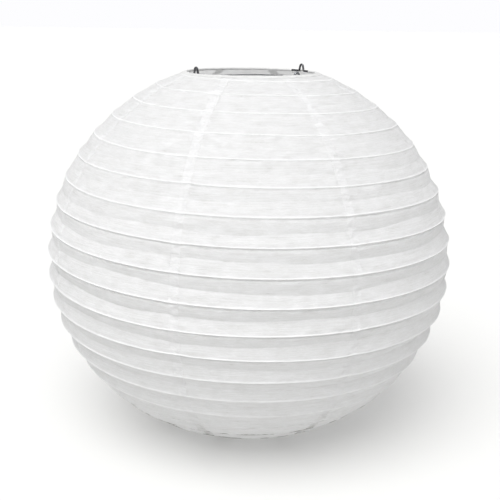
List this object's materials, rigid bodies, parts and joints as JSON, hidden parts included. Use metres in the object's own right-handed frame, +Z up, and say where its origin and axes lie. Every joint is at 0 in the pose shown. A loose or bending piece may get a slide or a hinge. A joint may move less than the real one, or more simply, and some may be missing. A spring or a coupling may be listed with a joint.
{
  "type": "paper lantern",
  "caption": "Round white paper lantern shade: paper gores over a spiral rib wire, open wire rings top and bottom, lift-out wire expander; folds flat.",
  "frame": {"origin": "centre of the bottom binding's flat underside, on the surface that the open lantern stands on", "axes": "+Z up along the shade's axis; +X through the ear at the right end of the expander, so both ears, the expander and its hanging eye lie in the XZ plane"},
  "size_m": [0.35, 0.35, 0.3185],
  "materials": {
    "shade_paper": "matt white tissue-like rice paper, faintly fibrous, lets light through",
    "binding_paper": "matt white paper strip, glued",
    "rib_wire": "thin bright drawn steel wire",
    "ring_wire": "dark grey drawn steel wire",
    "expander_wire": "grey drawn steel wire"
  },
  "bodies": {
    "shade": {"gore_1": "shade_paper", "gore_2": "shade_paper", "gore_3": "shade_paper", "gore_4": "shade_paper", "gore_5": "shade_paper", "gore_6": "shade_paper", "gore_7": "shade_paper", "gore_8": "shade_paper", "rib_wire": "rib_wire", "bottom_ring": "ring_wire", "bottom_binding": "binding_paper"},
    "top_rim": {"top_ring": "ring_wire", "top_binding": "binding_paper"},
    "expander": {"expander": "expander_wire"}
  },
  "joints": [
    {"name": "fold", "type": "slide", "parent": "shade", "child": "top_rim", "axis": [0, 0, -1], "range_m": [0, 0.2966], "deforming": ["gore_1", "gore_2", "gore_3", "gore_4", "gore_5", "gore_6", "gore_7", "gore_8", "rib_wire"]},
    {"name": "expander_lift", "type": "slide", "parent": "shade", "child": "expander", "axis": [0, 0, 1], "range_m": [0, 0.332]}
  ]
}
